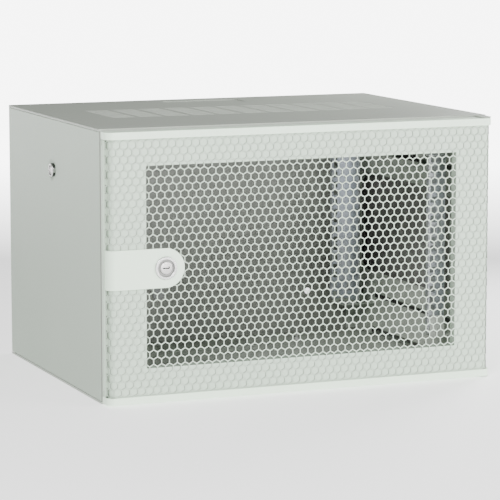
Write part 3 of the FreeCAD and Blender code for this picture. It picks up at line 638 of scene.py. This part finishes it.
def lock_plug(name, node, centre, outwards, radius, depth, slot_axis, spindle, cam_reach):
    """Turning plug with a notched key slot, and the square end for its cam."""
    profile = [(-depth, 0.02 * MM), (-depth, radius), (-plug_edge, radius),
               (-plug_edge * 0.3, radius - plug_edge * 0.35), (0, radius - plug_edge), (0, 0.02 * MM)]
    mesh = lathe(profile, centre, outwards)
    across = outwards.cross(slot_axis)
    along = slot_axis * key_slot_length / 2
    aside = across * key_slot_width / 2
    # The key slot's faces take the near-black painted shade.
    plug = new_piece(name, mesh, satin, key_slot_shade)
    corner = centre + along + aside
    for first, last in ((centre - along - aside, corner),
                        (corner - slot_axis * key_notch - aside * 0.1, corner + across * key_notch)):
        cutter_mesh = bmesh.new()
        box_between(cutter_mesh, first - outwards * key_slot_depth, last + outwards * MM)
        cutter = new_piece(name + "_cutter", cutter_mesh, key_slot_shade)
        cut = plug.modifiers.new("key_slot", "BOOLEAN")
        cut.operation = "DIFFERENCE"
        cut.solver = "EXACT"
        cut.material_mode = "TRANSFER"
        cut.object = cutter
        apply_modifiers(plug)
        bpy.data.objects.remove(cutter)
    data = plug.data
    mesh = bmesh.new()
    mesh.from_mesh(data)
    half = spindle / 2
    side = slot_axis * half + across * half
    box_between(mesh, centre - outwards * depth - side,
                centre - outwards * (depth + cam_reach) + side)
    mesh.to_mesh(data)
    mesh.free()
    smooth_by_angle(plug, 30)
    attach(plug, frame["nodes"][node]["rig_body"])
    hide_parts(node)


def locks():
    """Detailed faces of the door lock and of the two side locks."""
    forward = Vector((0, -1, 0))
    housing = "door_lock_housing"
    seat_y = low("lock_tab").y
    centre = Vector((middle(housing).x, seat_y, middle(housing).z))
    bezel_radius = (high(housing).x - low(housing).x) / 2
    # Door lock: nickel bezel, with painted shade in the recess.
    lock_bezel("lock_bezel", housing, centre, forward, bezel_radius, door_plug_radius,
               seat_y - low(housing).y, door_lock_recess, high(housing).y - seat_y,
               (bezel_nickel, recess_shade_metal, bezel_nickel))
    plug = "door_lock_plug"
    cam = "door_lock_cam"
    face = Vector((centre.x, low(plug).y, centre.z))
    lock_plug("lock_plug_face", plug, face, forward, door_plug_radius,
              low(cam).y - low(plug).y, Vector((1, 0, 0)), door_spindle, high(cam).y - low(cam).y)
    for side, sign in (("left", -1), ("right", 1)):
        outwards = Vector((sign, 0, 0))
        housing = "side_lock_housing_" + side
        plug = "side_lock_plug_" + side
        cam = "side_lock_cam_" + side
        reach = max(abs(low(housing).x), abs(high(housing).x))
        inner_end = min(abs(low(housing).x), abs(high(housing).x))
        seat = reach - side_lock_stand
        centre = Vector((sign * seat, middle(housing).y, middle(housing).z))
        # Side locks: chrome, with painted shade in the recess and a painted dark reflection on the
        # barrel.
        lock_bezel("side_lock_bezel_" + side, housing, centre, outwards, side_lock_radius,
                   side_plug_radius, reach - seat, side_lock_recess, seat - inner_end,
                   (chrome, recess_shade_metal, dark_reflection_chrome))
        plug_reach = max(abs(low(plug).x), abs(high(plug).x))
        cam_face = max(abs(low(cam).x), abs(high(cam).x))
        cam_end = min(abs(low(cam).x), abs(high(cam).x))
        face = Vector((sign * plug_reach, centre.y, centre.z))
        lock_plug("side_lock_plug_face_" + side, plug, face, outwards, side_plug_radius,
                  plug_reach - cam_face, Vector((0, 0, 1)), side_spindle, cam_face - cam_end)


def dress_nodes():
    """Softened edges and materials for the CAD nodes that keep their own shape."""
    # Inner frames, rail brackets, door frame, caps and lock tab take lit copies of the paint, as painted
    # light. Hinge brackets and entry covers take the shaded shell copy, as painted shade.
    softened = {
        "side_frame_left": (frame_paint_lit, 0.4), "side_frame_right": (frame_paint_lit, 0.4),
        "door_frame": (door_paint_lit, 0.35),
        "door_cap_top": (trim_paint_lit, 0.7), "door_cap_bottom": (trim_paint_lit, 0.7),
        "lock_tab": (trim_paint_lit, 0.5),
        "hinge_bracket_top": (shell_paint_shaded, 0.3), "hinge_bracket_bottom": (shell_paint_shaded, 0.3),
        "top_entry_cover": (shell_paint_shaded, 0.3), "bottom_entry_cover": (shell_paint_shaded, 0.3),
    }
    for end in ("front", "rear"):
        for side in ("left", "right"):
            softened["rail_%s_%s" % (end, side)] = (zinc, 0.45)
            softened["rail_brackets_%s_%s" % (end, side)] = (frame_paint_lit, 0.35)
            softened["rail_bolts_%s_%s" % (end, side)] = (fastener, 0.5)
    for node, (material, bend) in softened.items():
        dress(node, material, bend * MM)
    forwards = Vector((0, -1, 0))
    # Side panels in the shaded body copy of the paint, with the dark grey painted shade on their inner
    # and front faces.
    for side, inwards in (("left", 1), ("right", -1)):
        dress("side_panel_" + side, body_paint_shaded, 0.5 * MM, painted_shade_grey,
              (Vector((inwards, 0, 0)), forwards))
    # Rear panel: shaded copy outside and a darker copy on its inner face, as painted shade. Bottom panel:
    # shaded copy below and a lighter copy on its upper face, as painted light.
    dress("rear_panel", shell_paint_shaded, 0.4 * MM, inner_paint_shaded, (forwards,))
    dress("bottom_panel", shell_paint_shaded, 0.5 * MM, frame_paint_lit, (Vector((0, 0, 1)),))
    for node, cad_object in frame["nodes"].items():
        if not cad_object.hide_render:
            # Lock cams take the near-black painted shade; the rest take their slot's material.
            set_material(cad_object, cam_shade_metal if "lock_cam" in node else slot_materials[node_slots[node]])


# Studio

def studio():
    """Pale floor, soft lights and the camera."""
    floor_mesh = bmesh.new()
    bmesh.ops.create_grid(floor_mesh, x_segments=1, y_segments=1, size=30.0)
    floor_material, floor_shader, floor_coordinates = new_material("floor")
    floor_shader.inputs["Base Color"].default_value = floor_base
    floor_shader.inputs["Roughness"].default_value = 0.8
    floor_shader.inputs["Emission Color"].default_value = (1, 1, 1, 1)
    behind = floor_material.node_tree.nodes.new("ShaderNodeVectorMath")
    behind.operation = "DOT_PRODUCT"
    behind.inputs[1].default_value = glow_way
    links = floor_material.node_tree.links
    links.new(floor_coordinates.outputs["Object"], behind.inputs[0])
    glow = spread(floor_material, behind.outputs["Value"], *glow_distances, *glow_strengths)
    links.new(glow, floor_shader.inputs["Emission Strength"])
    floor = new_piece("floor", floor_mesh, floor_material)
    world = bpy.data.worlds.new("studio")
    bpy.context.scene.world = world
    world.use_nodes = True
    background = world.node_tree.nodes["Background"]
    background.inputs["Color"].default_value = (1, 1, 1, 1)
    background.inputs["Strength"].default_value = 0.15

    def area_light(name, place, aim, size, power):
        lamp = bpy.data.lights.new(name, "AREA")
        lamp.shape = "RECTANGLE"
        lamp.size, lamp.size_y = size
        lamp.energy = power
        lamp_object = bpy.data.objects.new(name, lamp)
        lamp_object.location = place
        direction = Vector(aim) - Vector(place)
        lamp_object.rotation_euler = direction.to_track_quat("-Z", "Y").to_euler()
        bpy.context.scene.collection.objects.link(lamp_object)

    area_light("key_right", (2.4, -2.1, 0.7), (0, -0.2, 0.2), (2.2, 1.3), 116)
    area_light("key_left", (-1.8, -2.3, 2.0), (-0.1, -0.2, 0.2), (1.2, 1.2), 130)
    area_light("low_front", (0.5, -3.1, 0.4), (0.0, 0, 0.2), (0.6, 0.7), 32)
    area_light("top_right", (0.9, 0.4, 0.7), (0.3, 0.0, 0.387), (0.4, 0.4), 15)

    camera_data = bpy.data.cameras.new("camera")
    camera_data.sensor_width = camera_sensor
    camera_data.lens = camera_lens
    camera_data.clip_end = 100
    camera = bpy.data.objects.new("camera", camera_data)
    camera.location = camera_place
    camera.rotation_euler = (math.radians(90 - camera_dip), 0, math.radians(-camera_turn))
    bpy.context.scene.collection.objects.link(camera)
    bpy.context.scene.camera = camera


studio()
door_grille()
top_tray()
locks()
dress_nodes()
